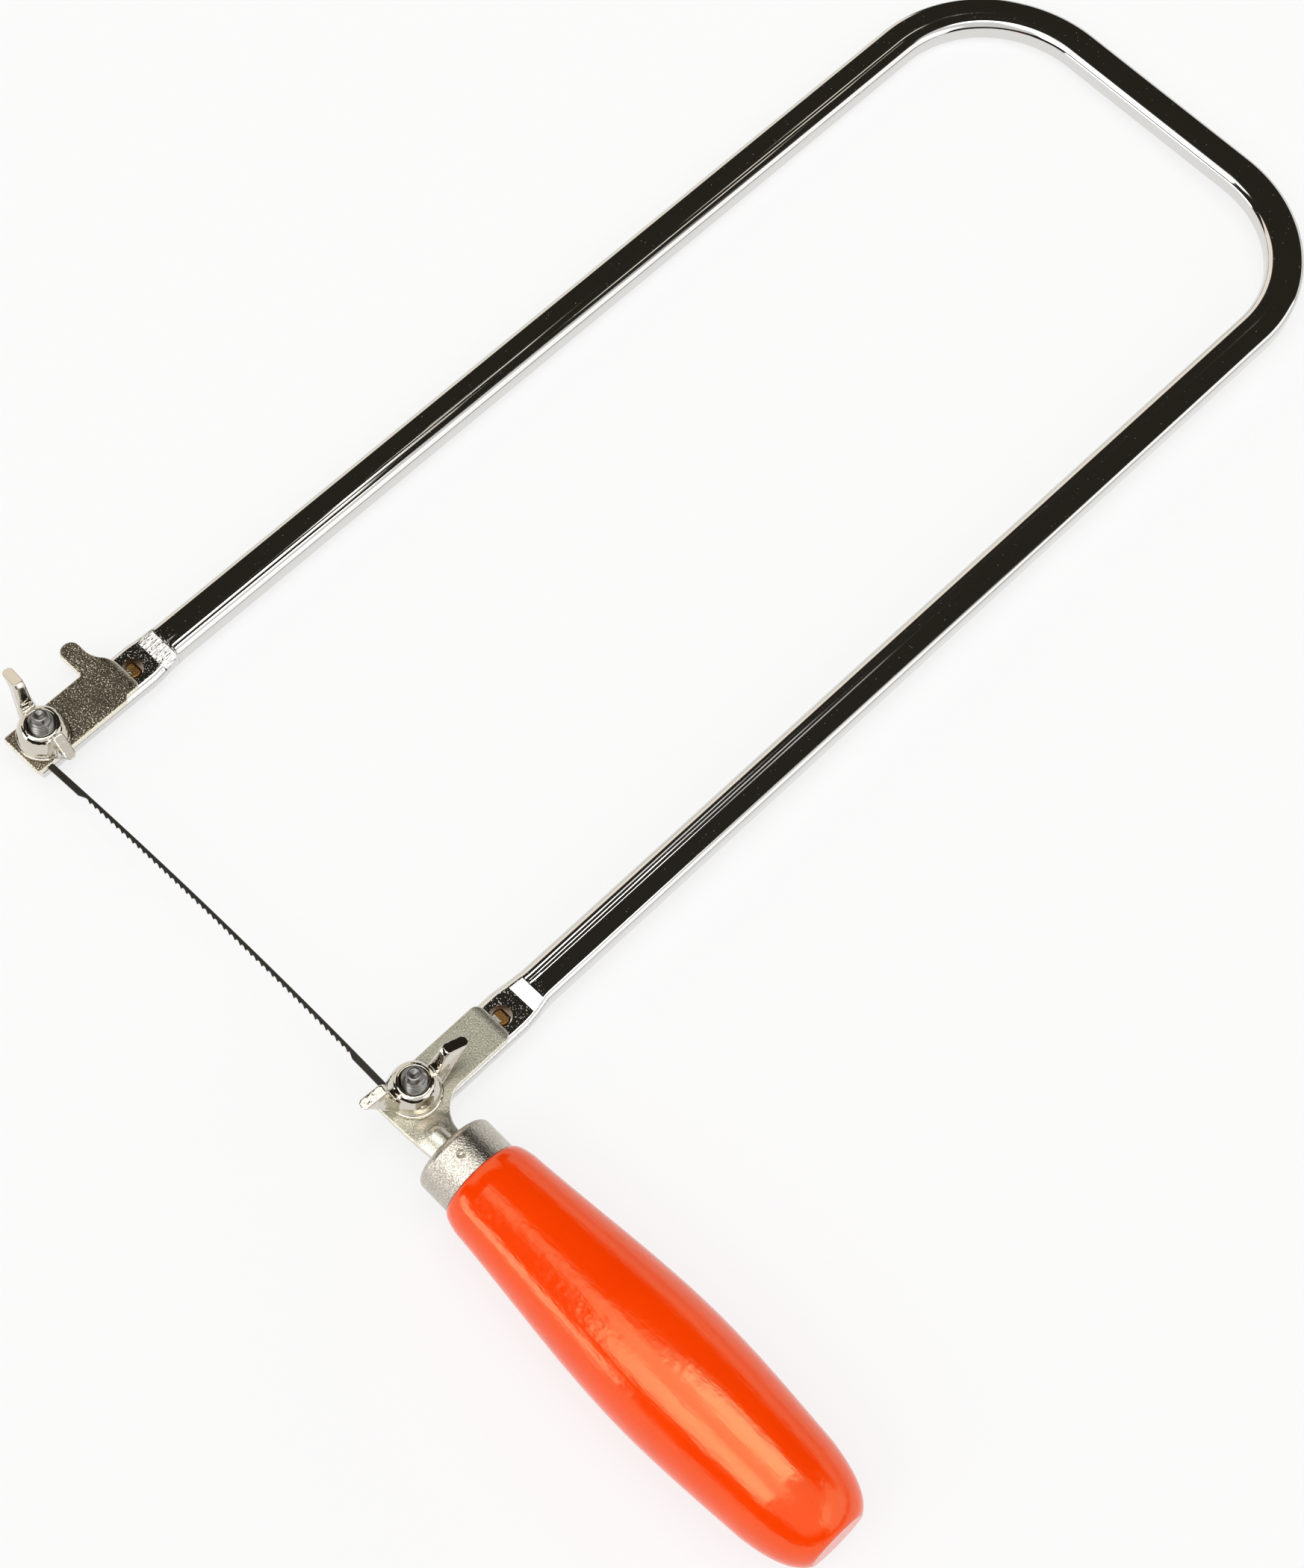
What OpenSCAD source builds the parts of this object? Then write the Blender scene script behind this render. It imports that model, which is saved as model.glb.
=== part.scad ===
// Deep fret saw: a U-shaped sprung bow, two blade clamps closed by wing nuts, and a turned handle.
// The origin is the middle of the blade. +X runs along the blade to the handle, +Y runs into the
// throat, and +Z stands square to the bow, on the side of the wing nuts.

/* [Blade] */
// Length of the blade, end to end
blade_len = 130; // [124:1:136]
// Width of the blade at its plain ends
blade_w = 1.6; // [1.2:0.1:2]
// Thickness of the blade
blade_t = 0.5; // [0.3:0.05:0.8]
// Length of the blade beyond the axis of each clamp bolt
blade_past_bolt = 2.5; // [1:0.1:4]
// Length of the toothed stretch
toothed_len = 89; // [60:1:100]
// Number of teeth along the toothed stretch
tooth_count = 49; // [30:1:70]
// Depth of a tooth
tooth_depth = 0.42; // [0.3:0.02:0.6]
// Drop from the plain end's edge to the tooth tips
tooth_inset = 0.38; // [0.2:0.02:0.5]

/* [Bow] */
// Distance from the bolt axes to the middle of the end bar
bow_reach = 335; // [150:1:400]
// Width of the bow's bar, across the arm
bar_w = 10; // [8:0.5:12]
// Thickness of the bow's bar
bar_h = 6; // [5:0.5:8]
// Rounding of the bar's edges
bar_round = 1.6; // [0.5:0.1:1.9]
// Bend radius of the two corners, to the middle of the bar
corner_r = 35; // [20:1:45]

/* [Flattened ends] */
// Width of the flattened arm end
flat_w = 12.4; // [12:0.1:14]
// Thickness of the flattened arm end
flat_h = 4; // [3.4:0.1:4.8]
// Length of the flat beyond the bolt axis
flat_past_bolt = 5.8; // [5.2:0.1:6.8]
// Length of the flat from the bolt axis towards the end bar
flat_reach = 30; // [30:0.5:36]
// Length over which the flat swells into the bar
flare_len = 10; // [6:0.5:14]
// Diameter of the heel hole, which keeps the clamp plate from turning
heel_hole_d = 5.2; // [4.8:0.1:6]
// Distance from the bolt axis to the heel hole
heel_hole_reach = 27.8; // [26:0.1:28.5]

/* [Clamp bolts] */
// Thread diameter of the clamp bolts
bolt_d = 6; // [5.6:0.1:6.4]
// Diameter of the plain shank, which the blade lies against
bolt_shank_d = 5.2; // [4.6:0.1:5.6]
// Thread pitch, the rise of the nut in one turn
thread_pitch = 1; // [0.8:0.05:1.2]
// Depth of the thread
thread_depth = 0.5; // [0.3:0.05:0.6]
// Diameter of the domed bolt head under the arm
bolt_head_d = 11; // [10:0.5:14]
// Height of the domed bolt head
bolt_head_h = 3; // [2:0.1:4]
// Side of the square neck that keeps the bolt from turning
bolt_neck_w = 6; // [5.5:0.1:7]
// Height of the square neck
bolt_neck_h = 3; // [2:0.1:3.2]
// Height of the bolt's tip above the wing nut's seat
bolt_tip_h = 10.4; // [9.5:0.1:12]
// Diameter of the plain point on the bolt's tip
bolt_point_d = 3.6; // [3:0.1:4.8]
// Length of the plain point
bolt_point_len = 1.9; // [1:0.1:3]

/* [Washers and wing nuts] */
// Outer diameter of the washer
washer_d = 13.4; // [12:0.1:14.4]
// Thickness of the washer
washer_t = 1.2; // [0.8:0.1:1.6]
// Diameter of the nut's flange
nut_flange_d = 12.8; // [12:0.1:14]
// Height of the nut's flange
nut_flange_h = 1; // [0.6:0.1:1.4]
// Diameter of the nut's collar at its top
nut_top_d = 8.4; // [8:0.1:10]
// Height of the nut's collar, flange included
nut_h = 6; // [5.5:0.1:7]
// Depth of the countersink round the bolt
nut_sink = 0.9; // [0.6:0.1:1.4]
// Span of the wings, tip to tip
wing_span = 28.8; // [26:0.1:30]
// Height of the wings' inner tips above the nut's seat
wing_h = 13.2; // [11:0.1:14]
// Drop of a wing's end face, from its inner to its outer tip
wing_drop = 2.2; // [1:0.1:3]
// Length of a wing's end face, across the nut
wing_end_len = 6.6; // [5:0.1:7]
// Thickness of a wing at its tip
wing_tip_t = 2.8; // [2:0.1:3]
// Thickness of a wing at its root
wing_root_t = 5; // [3:0.1:6]
// Angle of the front nut's wings from the blade, when tight
front_wing_angle = 171.5; // [0:0.5:180]
// Angle of the rear nut's wings from the blade, when tight
rear_wing_angle = 80; // [0:0.5:180]

/* [Clamp plates] */
// Thickness of the clamp plates
plate_t = 1.5; // [1.2:0.1:2]
// Distance from the bolt axis to the plates' heel end
plate_heel = 25.9; // [24:0.1:26.4]
// Width of the front plate
front_plate_w = 12.8; // [12:0.1:13.4]
// Distance from the bolt axis to the front plate's toe end
front_plate_toe = 7.2; // [7.2:0.1:8]
// Width of the rear plate
rear_plate_w = 11.6; // [11:0.1:12.4]
// Distance from the bolt axis to the rear plate's toe edge
rear_plate_toe = 8.6; // [8.2:0.1:9.2]
// Length of the thumb tab, from the front plate's edge
thumb_tab_len = 9; // [6:0.5:12]
// Width of the thumb tab
thumb_tab_w = 5.4; // [4:0.1:6]
// Distance from the bolt axis to the middle of the thumb tab
thumb_tab_reach = 19.8; // [18.5:0.1:20.4]
// Depth of the nib that drops into the heel hole, below the plate
nib_depth = 3; // [2.8:0.1:3.6]
// Width of the nib
nib_w = 2.4; // [1.6:0.1:2.6]

/* [Tang and ferrule] */
// Width of the tang where it enters the ferrule
tang_w = 9; // [8:0.1:10]
// Length of the tang inside the handle
tang_len = 48; // [30:1:60]
// Width of the tang at its tip
tang_tip_w = 5; // [3:0.1:7]
// Radius of the hollow between the rear plate and the tang
tang_hollow_r = 8.4; // [6:0.1:9]
// Width of the rib pressed into the tang
rib_w = 5.2; // [4:0.1:6]
// Height of the rib above the plate
rib_h = 1.7; // [1:0.1:2]
// Distance from the bolt axis to the ferrule's front
ferrule_reach = 15.4; // [15.4:0.1:18]
// Outer diameter of the ferrule
ferrule_d = 20.7; // [18:0.1:22]
// Length of the ferrule
ferrule_len = 10; // [8:0.5:16]
// Wall of the ferrule
ferrule_wall = 0.8; // [0.6:0.1:1.2]
// Rounding of the ferrule's front edge
ferrule_round = 1.8; // [1:0.1:3]

/* [Handle] */
// Length of the handle behind the ferrule
handle_len = 112; // [95:1:130]
// Diameter of the handle just behind the ferrule
handle_neck_d = 24.7; // [23.5:0.1:28]
// Greatest diameter of the handle
handle_belly_d = 33; // [29:0.5:38]
// Distance from the ferrule to the greatest diameter
handle_belly_at = 61; // [50:1:65]
// Diameter where the butt's rounding starts
handle_tail_d = 29; // [26:0.5:33]
// Length of the rounding at the butt
butt_round_len = 15.5; // [10:0.5:20]
// Diameter of the flat on the butt
butt_flat_d = 15.5; // [10:0.5:20]
// Lean of the handle away from the throat, in degrees
handle_lean = 1.5; // [0:0.1:3]

/* [Hidden] */
$fn = 64;

// Clearances
blade_gap = 0.05;
nut_gap = 0.05;
neck_gap = 0.05;
hole_gap = 0.25;
tang_gap = 0.1;
ferrule_gap = 0.03;
seam = 0.2;

// Places along Y, from the blade's middle line
bolt_y = blade_w / 2 + blade_gap + bolt_shank_d / 2;
bar_y = bolt_y + bow_reach;
heel_y = bolt_y + plate_heel;

// Places along X
arm_x = blade_len / 2 - blade_past_bolt;
ferrule_x = arm_x + ferrule_reach;

// Levels along Z, from the blade's middle plane
flat_top = -blade_t / 2;
bar_z = flat_top - flat_h / 2;
flat_bottom = flat_top - flat_h;
plate_z = blade_t / 2;
plate_top = plate_z + plate_t;
nut_seat = plate_top + washer_t;
handle_z = plate_z + plate_t / 2;

bolt_r = bolt_d / 2;
nut_bore_r = bolt_r + nut_gap;
bolt_hole_d = bolt_d + 2 * hole_gap;

// Points of an arc about c, from angle a0 to a1
function arc(c, r, a0, a1, steps = 8) =
    [for (i = [0 : steps]) let (a = a0 + (a1 - a0) * i / steps) c + r * [cos(a), sin(a)]];

// Points of a cubic curve from p0 to p3, without p0
function curve(p0, p1, p2, p3, steps) =
    [for (i = [1 : steps]) let (t = i / steps, u = 1 - t)
        u * u * u * p0 + 3 * u * u * t * p1 + 3 * u * t * t * p2 + t * t * t * p3];

// Smooth step from 0 to 1
function ease(t) = let (c = min(max(t, 0), 1)) c * c * (3 - 2 * c);

// Points of the bar's section, a rectangle with rounded edges
function section(w, h, r) =
    [for (q = [0 : 3]) let (sx = (q == 0 || q == 3) ? 1 : -1, sy = q < 2 ? 1 : -1)
        each arc([sx * (w / 2 - r), sy * (h / 2 - r)], r, 90 * q, 90 * (q + 1), 6)];

// A straight length of section along +Y
module along_y(length) {
    rotate([-90, 0, 0]) linear_extrude(length) children();
}

// The swelling between the flattened end and the bar
module flare() {
    steps = 12;
    rings = [for (i = [0 : steps]) let (t = i / steps, s = ease(t), rise = ease(2.5 * t - 0.6))
        [for (p = section(flat_w + (bar_w - flat_w) * s, flat_h + (bar_h - flat_h) * rise, bar_round))
            [p[0], t * flare_len, p[1]]]];
    n = len(rings[0]);
    polyhedron(
        points = [for (ring = rings) for (p = ring) p],
        faces = concat(
            [[for (i = [n - 1 : -1 : 0]) i]],
            [for (k = [0 : steps - 1], i = [0 : n - 1]) let (a = k * n + i, b = k * n + (i + 1) % n)
                each [[a, b, a + n], [b, b + n, a + n]]],
            [[for (i = [0 : n - 1]) steps * n + i]]));
}

// The bow: one chromed bar bent to a U, its ends pressed flat, drilled and pierced
module bow_frame() {
    flare_y = bolt_y + flat_reach;
    arm_y = flare_y + flare_len;
    bend_y = bar_y - corner_r;
    bend_x = arm_x - corner_r;
    color("gainsboro") difference() {
        translate([0, 0, bar_z]) {
            for (side = [-1, 1]) {
                translate([side * arm_x, bolt_y - flat_past_bolt, 0])
                    along_y(flat_past_bolt + flat_reach) polygon(section(flat_w, flat_h, bar_round));
                translate([side * arm_x, flare_y, 0]) flare();
                translate([side * arm_x, arm_y, 0])
                    along_y(bend_y - arm_y) polygon(section(bar_w, bar_h, bar_round));
                translate([side * bend_x, bend_y, 0]) rotate([0, 0, side > 0 ? 0 : 90])
                    rotate_extrude(angle = 90) translate([corner_r, 0]) polygon(section(bar_w, bar_h, bar_round));
            }
            translate([-bend_x, bar_y, 0]) rotate([90, 0, 90])
                linear_extrude(2 * bend_x) polygon(section(bar_w, bar_h, bar_round));
        }
        for (side = [-1, 1]) {
            neck = bolt_neck_w + 2 * neck_gap;
            translate([side * arm_x, bolt_y, bar_z]) cube([neck, neck, flat_h + 1], center = true);
            translate([side * arm_x, bolt_y + heel_hole_reach, bar_z])
                cylinder(h = flat_h + bar_h, d = heel_hole_d, center = true);
        }
    }
}

// A clamp bolt: domed head under the arm, square neck, thread and plain point
module clamp_bolt(x) {
    tip = nut_seat + bolt_tip_h;
    thread_end = tip - bolt_point_len;
    dome_r = (bolt_head_d * bolt_head_d / 4 + bolt_head_h * bolt_head_h) / (2 * bolt_head_h);
    dome_z = flat_bottom - bolt_head_h + dome_r;
    root_r = bolt_r - thread_depth;
    turns = floor((thread_end - plate_top) / thread_pitch);
    thread_start = thread_end - turns * thread_pitch;
    grooves = [for (i = [0 : turns - 1]) let (z = thread_start + i * thread_pitch)
        each [[bolt_r, z + thread_pitch * 0.1], [root_r, z + thread_pitch * 0.5],
              [root_r, z + thread_pitch * 0.6], [bolt_r, z + thread_pitch]]];
    shank_r = bolt_shank_d / 2;
    point_r = bolt_point_d / 2;
    chamfer = point_r / 4;
    translate([x, bolt_y, 0]) color("dimgray") {
        intersection() {
            translate([0, 0, dome_z]) sphere(r = dome_r);
            translate([0, 0, flat_bottom - bolt_head_h]) cylinder(h = bolt_head_h, d = bolt_head_d);
        }
        translate([-bolt_neck_w / 2, -bolt_neck_w / 2, flat_bottom - seam])
            cube([bolt_neck_w, bolt_neck_w, bolt_neck_h + seam]);
        rotate_extrude() polygon(concat(
            [[0, flat_bottom - seam], [shank_r, flat_bottom - seam],
             [shank_r, thread_start - bolt_r + shank_r]], grooves,
            [[point_r, thread_end + (bolt_r - point_r) / 2], [point_r, tip - chamfer],
             [point_r - chamfer, tip], [0, tip]]));
    }
}
module front_bolt() { clamp_bolt(-arm_x); }
module rear_bolt() { clamp_bolt(arm_x); }

// The bent heel of a clamp plate: a pad that bears on the arm, and a nib that enters the heel hole
module plate_heel_end(w) {
    pad_len = 3;
    nib_y = heel_hole_reach - heel_hole_d / 2 + 0.5;
    nib_t = 1.2;
    translate([-w / 2 + bar_round, plate_heel - 1 - pad_len, flat_top])
        cube([w - 2 * bar_round, pad_len, blade_t + seam]);
    translate([-nib_w / 2, nib_y, plate_z - nib_depth]) cube([nib_w, nib_t, nib_depth + plate_t]);
    translate([-nib_w / 2, plate_heel - 1, plate_z]) cube([nib_w, nib_y + nib_t - plate_heel + 1, plate_t]);
}

// The front clamp plate: a stamped plate with a thumb tab, open to the blade at its toe
module front_clamp_plate() {
    half = front_plate_w / 2;
    toe_round = 1;
    heel_inset = 1;
    heel_round = 2;
    tab_r = thumb_tab_w / 2;
    tab_low = thumb_tab_reach - tab_r;
    tab_high = thumb_tab_reach + tab_r;
    shoulder_r = plate_heel - tab_high;
    outline = concat(
        arc([-half + toe_round, -front_plate_toe + toe_round], toe_round, 180, 270),
        arc([half - toe_round, -front_plate_toe + toe_round], toe_round, 270, 360),
        [[half, tab_high - 2], [half - heel_inset, tab_high - 2 + heel_inset]],
        arc([half - heel_inset - heel_round, plate_heel - heel_round], heel_round, 0, 90),
        arc([-half + shoulder_r, plate_heel - shoulder_r], shoulder_r, 90, 170),
        [[-half - 1, tab_high]],
        arc([-half - thumb_tab_len + tab_r, thumb_tab_reach], tab_r, 90, 270, 16),
        [[-half, tab_low]]);
    translate([-arm_x, bolt_y, 0]) color("darkgray") difference() {
        union() {
            translate([0, 0, plate_z]) linear_extrude(plate_t) polygon(outline);
            plate_heel_end(front_plate_w - 2 * heel_inset);
        }
        translate([0, 0, plate_z - 1]) cylinder(h = plate_t + 2, d = bolt_hole_d);
    }
}

// Places children on the handle's axis, with +Z running from the ferrule's front to the butt
module on_handle() {
    translate([ferrule_x, 0, handle_z]) rotate([0, 0, -handle_lean]) rotate([0, 90, 0]) children();
}

// The tang inside the handle: a flat spike in the plate's plane, grown by gap for its slot
module tang_spike(gap) {
    back = ferrule_wall + 1;
    tip_w = tang_tip_w + 2 * gap;
    root_w = tang_w + 2 * gap;
    translate([ferrule_x, 0, handle_z]) rotate([0, 0, -handle_lean])
        translate([0, 0, -plate_t / 2 - gap]) linear_extrude(plate_t + 2 * gap)
            polygon([[-back, -root_w / 2], [back + 2, -root_w / 2], [tang_len + gap, -tip_w / 2],
                     [tang_len + gap, tip_w / 2], [back + 2, root_w / 2], [-back, root_w / 2]]);
}

// The half-round rib pressed into the tang, with a rounded start, grown by gap for its slot
module tang_rib(gap) {
    rib_r = (rib_w * rib_w / 4 + rib_h * rib_h) / (2 * rib_h);
    rib_z = plate_top + rib_h - rib_r;
    rib_start = arm_x + washer_d / 2 + rib_r + 0.3;
    rib_end = ferrule_x + ferrule_wall + 2 + gap;
    intersection() {
        translate([0, 0, rib_z]) {
            translate([rib_start, 0, 0]) sphere(r = rib_r + gap);
            translate([rib_start, 0, 0]) rotate([0, 90, 0]) cylinder(h = rib_end - rib_start, r = rib_r + gap);
        }
        translate([arm_x, -rib_w, handle_z]) cube([rib_end - arm_x + 1, 2 * rib_w, 2 * rib_w]);
    }
}

// The rear clamp plate: a stamped plate whose toe runs on as the tang of the handle
module rear_clamp_plate() {
    half = rear_plate_w / 2;
    heel_round = 2.4;
    toe_y = bolt_y - rear_plate_toe;
    tang_top = tang_w / 2;
    tang_low = -tang_w / 2;
    right = arm_x + half;
    left = arm_x - half;
    hollow = min(tang_hollow_r, ferrule_x - right);
    outline = concat(
        [[left, toe_y + 1], [left + 1, toe_y], [right, toe_y], [ferrule_x, tang_low], [ferrule_x, tang_top]],
        arc([right + hollow, tang_top + hollow], hollow, 270, 180, 12),
        arc([right - heel_round, heel_y - heel_round], heel_round, 0, 90),
        arc([left + heel_round, heel_y - heel_round], heel_round, 90, 180));
    color("silver") {
        difference() {
            union() {
                translate([0, 0, plate_z]) linear_extrude(plate_t) polygon(outline);
                translate([arm_x, bolt_y, 0]) plate_heel_end(rear_plate_w - 1);
            }
            translate([arm_x, bolt_y, plate_z - 1]) cylinder(h = plate_t + 2, d = bolt_hole_d);
        }
        tang_rib(0);
        tang_spike(0);
    }
}

// A flat washer between a clamp plate and its nut
module washer(x) {
    translate([x, bolt_y, plate_top]) color("lightgray") difference() {
        cylinder(h = washer_t, d = washer_d);
        translate([0, 0, -1]) cylinder(h = washer_t + 2, d = bolt_hole_d);
    }
}
module front_washer() { washer(-arm_x); }
module rear_washer() { washer(arm_x); }

// One wing: a rising arm that thins from root to tip and ends in a sloping face
module wing() {
    root_r = nut_flange_d / 2;
    rim_r = nut_top_d / 2;
    tip_r = wing_span / 2;
    inner_r = tip_r - wing_end_len;
    outer_h = wing_h - wing_drop;
    end_round = 1.2;
    slope = atan(wing_drop / wing_end_len);
    side = concat(
        [[nut_bore_r + 0.8, nut_flange_h], [root_r, nut_flange_h]],
        arc([tip_r - end_round, outer_h - end_round], end_round, -50, 90 - slope, 8),
        arc([inner_r + end_round, wing_h - end_round], end_round, 90 - slope, 165, 6),
        [[rim_r + 1.4, nut_h], [rim_r - 0.2, nut_h - 1], [nut_bore_r + 0.8, nut_h - 1]]);
    intersection() {
        rotate([90, 0, 0]) translate([0, 0, -wing_root_t]) linear_extrude(2 * wing_root_t) polygon(side);
        rotate([90, 0, 90]) linear_extrude(wing_span) polygon([
            [-wing_root_t / 2, 0], [wing_root_t / 2, 0], [wing_tip_t / 2, nut_h + 1], [wing_tip_t / 2, wing_h + 1],
            [-wing_tip_t / 2, wing_h + 1], [-wing_tip_t / 2, nut_h + 1]]);
    }
}

// A wing nut: flange, domed collar, countersunk bore and two raised wings
module wing_nut(x, angle) {
    flange_r = nut_flange_d / 2;
    top_r = nut_top_d / 2;
    foot = nut_flange_h + 0.3;
    dome = [for (a = [0 : 15 : 90])
        [top_r + (flange_r - 0.3 - top_r) * cos(a), foot + (nut_h - foot) * sin(a)]];
    translate([x, bolt_y, nut_seat]) rotate([0, 0, angle]) color("whitesmoke") {
        rotate_extrude() polygon(concat([[nut_bore_r, 0], [flange_r, 0], [flange_r, nut_flange_h]], dome,
            [[nut_bore_r + nut_sink / 2, nut_h], [nut_bore_r, nut_h - nut_sink]]));
        wing();
        rotate([0, 0, 180]) wing();
    }
}
module front_wing_nut() { wing_nut(-arm_x, front_wing_angle); }
module rear_wing_nut() { wing_nut(arm_x, rear_wing_angle); }

// The blade: plain ends and a toothed stretch on the edge away from the throat
module blade() {
    back = blade_w / 2;
    tips = -back + tooth_inset;
    pitch = toothed_len / tooth_count;
    start = -toothed_len / 2;
    teeth = [for (i = [0 : tooth_count - 1]) let (x = start + i * pitch)
        each [[x, tips + tooth_depth], [x + pitch * 0.3, tips + tooth_depth], [x + pitch * 0.85, tips],
              [x + pitch * 0.95, tips]]];
    outline = concat([[-blade_len / 2, back], [-blade_len / 2, -back], [start - pitch, -back]], teeth,
        [[start + toothed_len, tips + tooth_depth], [start + toothed_len + pitch, -back],
         [blade_len / 2, -back], [blade_len / 2, back]]);
    color("darkslategray") translate([0, 0, -blade_t / 2]) linear_extrude(blade_t) polygon(outline);
}

// The ferrule: a drawn cap over the handle's spigot, slotted for the tang
module ferrule() {
    r = ferrule_d / 2;
    inner = r - ferrule_wall;
    color("silver") difference() {
        on_handle() rotate_extrude() polygon(concat(
            [[0, 0]], arc([r - ferrule_round, ferrule_round], ferrule_round, -90, 0),
            [[r, ferrule_len], [inner, ferrule_len]],
            arc([r - ferrule_round, ferrule_round], ferrule_round - ferrule_wall, 0, -90),
            [[0, ferrule_wall]]));
        tang_spike(tang_gap);
        tang_rib(tang_gap);
    }
}

// The handle: turned beech with a spigot for the ferrule, a slot for the tang and a flat butt
module handle() {
    spigot_r = ferrule_d / 2 - ferrule_wall - ferrule_gap;
    spigot_front = ferrule_wall + ferrule_gap;
    spigot_round = ferrule_round - ferrule_wall;
    neck_r = handle_neck_d / 2;
    belly_r = handle_belly_d / 2;
    tail_r = handle_tail_d / 2;
    butt_r = butt_flat_d / 2;
    neck_at = ferrule_len + 5;
    belly_at = ferrule_len + handle_belly_at;
    end_at = ferrule_len + handle_len;
    tail_at = end_at - butt_round_len;
    shoulder = [ferrule_d / 2 + 0.2, ferrule_len];
    neck = [neck_r, neck_at];
    belly = [belly_r, belly_at];
    tail = [tail_r, tail_at];
    butt = [butt_r, end_at];
    rise = (belly_at - neck_at) / 3;
    fall = (tail_at - belly_at) / 3;
    profile = concat(
        [[0, spigot_front]],
        arc([spigot_r - spigot_round, spigot_front + spigot_round], spigot_round, -90, 0, 4),
        [[spigot_r, ferrule_len], shoulder],
        curve(shoulder, shoulder + [0.9, 0.4], neck - [0.3, 2.2], neck, 6),
        curve(neck, neck + [1.3, rise], belly - [0, rise], belly, 14),
        curve(belly, belly + [0, fall], tail + [0.9, -fall], tail, 12),
        curve(tail, tail + [-0.7, butt_round_len * 0.32], butt + [4.6, -2.6], butt, 10),
        [[0, end_at]]);
    color("orangered") difference() {
        on_handle() rotate_extrude() polygon(profile);
        tang_spike(tang_gap);
        tang_rib(tang_gap);
    }
}

bow_frame();
front_bolt();
rear_bolt();
front_clamp_plate();
rear_clamp_plate();
front_washer();
rear_washer();
front_wing_nut();
rear_wing_nut();
blade();
ferrule();
handle();
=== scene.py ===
from math import copysign, cos, pi, radians, sin

import bmesh
import bpy
from mathutils import Matrix, Vector
from mathutils.geometry import interpolate_bezier


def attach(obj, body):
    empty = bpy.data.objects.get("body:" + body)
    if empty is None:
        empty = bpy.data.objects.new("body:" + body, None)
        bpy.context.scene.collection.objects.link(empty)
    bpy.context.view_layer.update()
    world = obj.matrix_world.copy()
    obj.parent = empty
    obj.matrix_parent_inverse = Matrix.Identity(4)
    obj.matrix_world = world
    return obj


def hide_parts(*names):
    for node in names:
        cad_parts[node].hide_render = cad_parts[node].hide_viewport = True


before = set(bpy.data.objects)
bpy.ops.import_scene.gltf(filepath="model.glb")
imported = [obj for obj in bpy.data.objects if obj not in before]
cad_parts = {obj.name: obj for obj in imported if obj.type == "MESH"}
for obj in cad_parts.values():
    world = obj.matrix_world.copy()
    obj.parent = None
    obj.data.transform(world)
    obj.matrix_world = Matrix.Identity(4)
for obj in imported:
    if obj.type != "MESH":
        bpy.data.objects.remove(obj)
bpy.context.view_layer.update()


# Camera: a long lens over the saw, looking down from the side of the handle, so that the arms run
# up to the right. Its place and turn are fitted to the arms, the end bar, the teeth and the ferrule.
eye = Vector((0.26633, -0.19563, 0.74611))
right = Vector((0.71567527, 0.69564666, 0.06232682))
down = Vector((0.64597018, -0.62534374, -0.43779873))
focal_pixels, image_width, sensor = 4691.72, 1746.0, 36.0
camera = bpy.data.objects.new("camera", bpy.data.cameras.new("camera"))
camera.data.sensor_fit = "HORIZONTAL"
camera.data.sensor_width = sensor
camera.data.lens = focal_pixels * sensor / image_width
camera.data.clip_start = 0.05
axes = Matrix((right, -down, right.cross(-down))).transposed()
camera.matrix_world = Matrix.Translation(eye) @ axes.to_4x4()
bpy.context.scene.collection.objects.link(camera)
bpy.context.scene.camera = camera
bpy.context.scene.view_settings.view_transform = "Standard"


# Studio: a dark room with a broad softbox over the camera's side of the saw, brighter windows from
# overhead down to the blade's side, and panels round the other sides. Flat polished tops mirror the
# dark ceiling, and edges mirror the lights.
def linear(code):
    """The linear colour of an sRGB hex value."""
    srgb = [int(code[i:i + 2], 16) / 255 for i in (1, 3, 5)]
    return [c / 12.92 if c <= 0.04045 else ((c + 0.055) / 1.055) ** 2.4 for c in srgb] + [1.0]


def add(tree, kind, settings={}, inputs={}):
    """Adds a node with its settings, and links or sets its inputs. Returns its outputs.

    Sockets go by number where a node has several of one name.
    """
    made = tree.nodes.new(kind)
    for name, value in settings.items():
        setattr(made, name, value)
    for name, value in inputs.items():
        if isinstance(value, bpy.types.NodeSocket):
            tree.links.new(value, made.inputs[name])
        else:
            made.inputs[name].default_value = value
    return made.outputs


pale = linear("#FAFAFA")
room = linear("#2B2822")
world = bpy.data.worlds.new("studio")
bpy.context.scene.world = world
world.use_nodes = True
tree = world.node_tree
tree.nodes.clear()
direction = add(tree, "ShaderNodeTexCoord")["Generated"]
# The softbox is a cone of directions. Its half angle and the softness of its edge are in degrees.
dome_axis, dome_half, dome_soft, dome_light = (0.374, -0.254, 0.892), 41.6, 2.0, 0.8
towards = add(tree, "ShaderNodeVectorMath", {"operation": "DOT_PRODUCT"}, {
    0: direction, 1: dome_axis})["Value"]
dome = add(tree, "ShaderNodeMapRange", {"interpolation_type": "SMOOTHSTEP"}, {
    0: towards, 1: cos(radians(dome_half + dome_soft)), 2: cos(radians(dome_half - dome_soft))})[0]
lit = add(tree, "ShaderNodeVectorMath", {"operation": "MULTIPLY_ADD"}, {
    0: dome, 1: [dome_light] * 3, 2: room[:3]})[0]
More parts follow.
